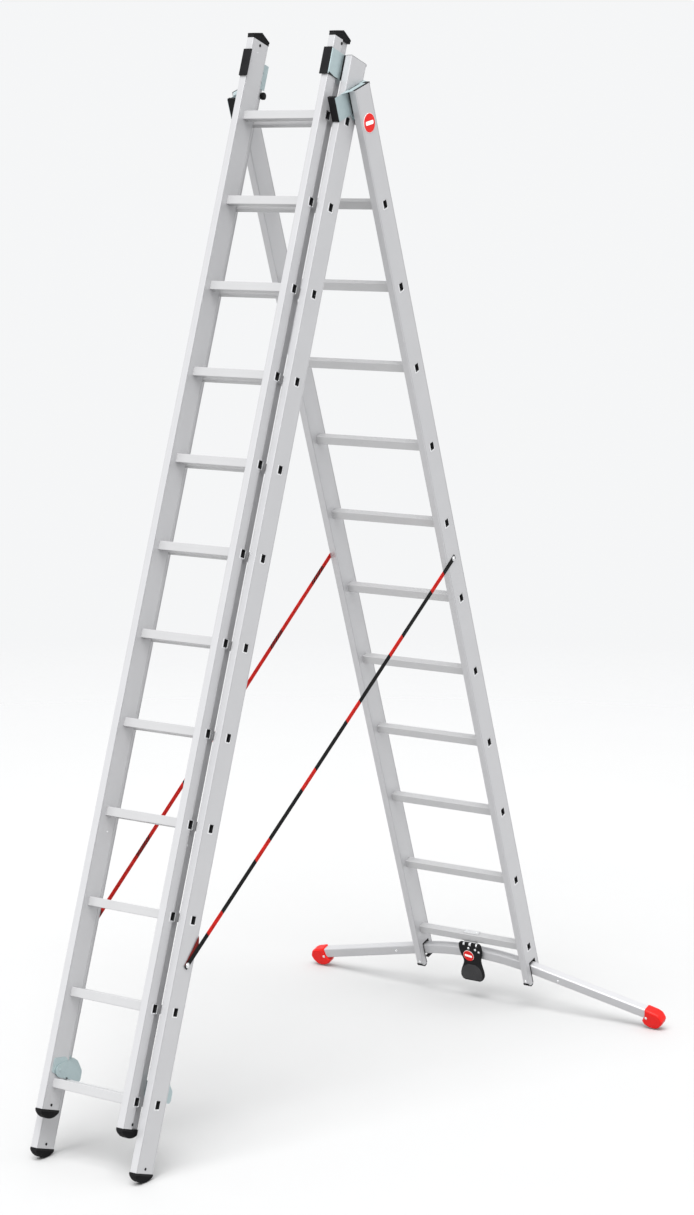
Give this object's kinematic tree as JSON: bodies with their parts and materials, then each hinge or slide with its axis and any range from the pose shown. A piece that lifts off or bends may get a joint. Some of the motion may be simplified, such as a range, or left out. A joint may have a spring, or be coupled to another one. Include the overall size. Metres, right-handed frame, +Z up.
{
  "type": "multi position ladder",
  "caption": "Three-section combination ladder standing as an A-frame, with a sliding top section, hooks, spread straps and a curved levelling bar.",
  "frame": {"origin": "on the floor, at the centre of the ladder's footprint", "axes": "+X along the rungs, +Y from the front leg to the rear leg, +Z up"},
  "size_m": [1.508, 2.3132, 3.4193],
  "materials": {
    "rail_aluminium": "satin extruded aluminium with fine lines along the rail",
    "rung_aluminium": "bright extruded aluminium, ribbed on the tread",
    "bar_aluminium": "satin bent aluminium tube",
    "zinc_steel": "zinc-plated pressed sheet, slightly blue",
    "black_plastic": "fine-grained moulded plastic",
    "red_plastic": "moulded plastic, semi-gloss",
    "white_plastic": "printed badge face",
    "webbing": "woven polyester webbing, black and red"
  },
  "bodies": {
    "middle_section": {"middle_rail_left": "rail_aluminium", "middle_rail_right": "rail_aluminium", "middle_rung_01": "rung_aluminium", "middle_rung_02": "rung_aluminium", "middle_rung_03": "rung_aluminium", "middle_rung_04": "rung_aluminium", "middle_rung_05": "rung_aluminium", "middle_rung_06": "rung_aluminium", "middle_rung_07": "rung_aluminium", "middle_rung_08": "rung_aluminium", "middle_rung_09": "rung_aluminium", "middle_rung_10": "rung_aluminium", "middle_rung_11": "rung_aluminium", "middle_rung_12": "rung_aluminium", "middle_foot_left": "black_plastic", "middle_foot_right": "black_plastic", "middle_guide_left": "zinc_steel", "middle_guide_right": "zinc_steel", "spread_strap_left": "webbing", "spread_strap_right": "webbing"},
    "top_section": {"top_rail_left": "rail_aluminium", "top_rail_right": "rail_aluminium", "top_rung_01": "rung_aluminium", "top_rung_02": "rung_aluminium", "top_rung_03": "rung_aluminium", "top_rung_04": "rung_aluminium", "top_rung_05": "rung_aluminium", "top_rung_06": "rung_aluminium", "top_rung_07": "rung_aluminium", "top_rung_08": "rung_aluminium", "top_rung_09": "rung_aluminium", "top_rung_10": "rung_aluminium", "top_rung_11": "rung_aluminium", "top_rung_12": "rung_aluminium", "top_foot_left": "black_plastic", "top_foot_right": "black_plastic", "top_end_cap_left": "black_plastic", "top_end_cap_right": "black_plastic"},
    "rear_section": {"rear_rail_left": "rail_aluminium", "rear_rail_right": "rail_aluminium", "rear_rung_01": "rung_aluminium", "rear_rung_02": "rung_aluminium", "rear_rung_03": "rung_aluminium", "rear_rung_04": "rung_aluminium", "rear_rung_05": "rung_aluminium", "rear_rung_06": "rung_aluminium", "rear_rung_07": "rung_aluminium", "rear_rung_08": "rung_aluminium", "rear_rung_09": "rung_aluminium", "rear_rung_10": "rung_aluminium", "rear_rung_11": "rung_aluminium", "rear_rung_12": "rung_aluminium", "rear_guide_left": "zinc_steel", "rear_guide_right": "zinc_steel"},
    "top_hook_left": {"top_hook_left": "zinc_steel"},
    "top_hook_right": {"top_hook_right": "zinc_steel"},
    "middle_hook_left": {"middle_hook_left": "zinc_steel"},
    "middle_hook_right": {"middle_hook_right": "zinc_steel"},
    "levelling_bar": {"levelling_bar": "bar_aluminium"},
    "foot_pedal": {"foot_pedal": "black_plastic"}
  },
  "joints": [
    {"name": "spread_hinge", "type": "hinge", "parent": "middle_section", "child": "rear_section", "pos_m": [0, 0.00064, 3.15262], "axis": [1, 0, 0], "range_deg": [-38.27, 0], "deforming": ["spread_strap_left", "spread_strap_right"]},
    {"name": "extension_slide", "type": "slide", "parent": "middle_section", "child": "top_section", "axis": [0, 0.3238, 0.9461], "range_m": [0, 2.24]},
    {"name": "top_hook_left_pivot", "type": "hinge", "parent": "top_section", "child": "top_hook_left", "pos_m": [-0.1409, -1.07137, 0.27997], "axis": [1, 0, 0], "range_deg": [0, 100]},
    {"name": "top_hook_right_pivot", "type": "hinge", "parent": "top_section", "child": "top_hook_right", "pos_m": [0.1409, -1.07137, 0.27997], "axis": [1, 0, 0], "range_deg": [0, 100]},
    {"name": "middle_hook_left_pivot", "type": "hinge", "parent": "middle_section", "child": "middle_hook_left", "pos_m": [-0.1769, -1.0147, 0.26798], "axis": [1, 0, 0], "range_deg": [0, 100]},
    {"name": "middle_hook_right_pivot", "type": "hinge", "parent": "middle_section", "child": "middle_hook_right", "pos_m": [0.1769, -1.0147, 0.26798], "axis": [1, 0, 0], "range_deg": [0, 100]},
    {"name": "levelling_pivot", "type": "hinge", "parent": "rear_section", "child": "levelling_bar", "pos_m": [0, 1.43639, -0.84231], "axis": [0, 0.9433, 0.3318], "range_deg": [-3, 3]},
    {"name": "pedal_pivot", "type": "hinge", "parent": "rear_section", "child": "foot_pedal", "pos_m": [0, 1.06339, 0.14273], "axis": [1, 0, 0], "range_deg": [0, 12], "stiffness_Nm_per_rad": 2, "springref_deg": -17.19}
  ]
}
